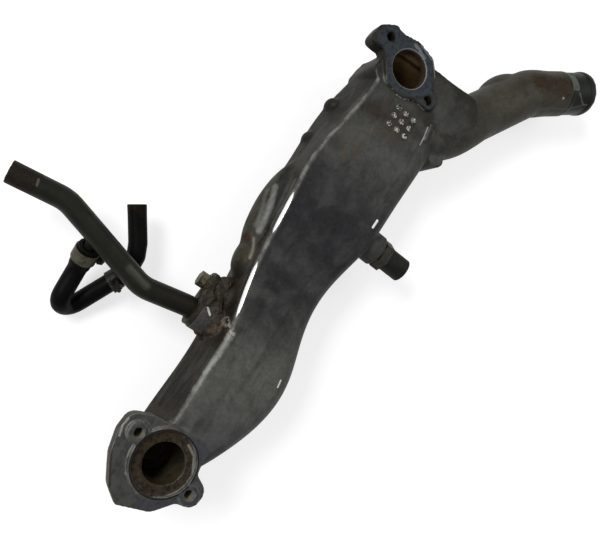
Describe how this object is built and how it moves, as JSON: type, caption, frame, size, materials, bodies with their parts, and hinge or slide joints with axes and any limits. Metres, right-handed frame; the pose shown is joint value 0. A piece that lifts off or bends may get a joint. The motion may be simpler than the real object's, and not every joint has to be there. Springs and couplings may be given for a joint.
{
  "type": "engine coolant crossover pipe",
  "caption": "Cast aluminium coolant crossover with flanged ports, a bent radiator branch, a temperature sensor and a bolted steel heater pipe that carries a rubber hose.",
  "frame": {"origin": "centre of port A and of its bolt circle, in the plane of the flange faces", "axes": "+X from port A to port B, +Y towards the heater pipe, +Z out of the flange faces"},
  "size_m": [0.5145, 0.3648, 0.071],
  "materials": {
    "cast_aluminium": "weathered cast surface with machined flange faces",
    "steel_pipe": "dull plated steel with brown tarnish",
    "hose_rubber": "matte black rubber",
    "plated_steel": "yellow zinc plate, worn",
    "clamp_steel": "stained stainless strip",
    "dark_steel": "dark oiled steel",
    "sensor_brass": "tarnished brass",
    "sensor_plastic": "matte dark plastic"
  },
  "bodies": {
    "root": {"crossover_casting": "cast_aluminium", "heater_pipe": "steel_pipe", "pipe_o_ring": "hose_rubber", "pipe_bracket": "steel_pipe", "bracket_bolt": "plated_steel", "bypass_hose": "hose_rubber", "end_clamp_band": "clamp_steel", "end_clamp_housing": "dark_steel", "end_clamp_screw": "dark_steel", "run_clamp_band": "dark_steel", "run_clamp_housing": "plated_steel", "run_clamp_screw": "dark_steel", "sensor_body": "sensor_brass", "sensor_washer": "clamp_steel", "sensor_connector": "sensor_plastic", "sensor_terminal_1": "clamp_steel", "sensor_terminal_2": "clamp_steel"}
  },
  "joints": []
}
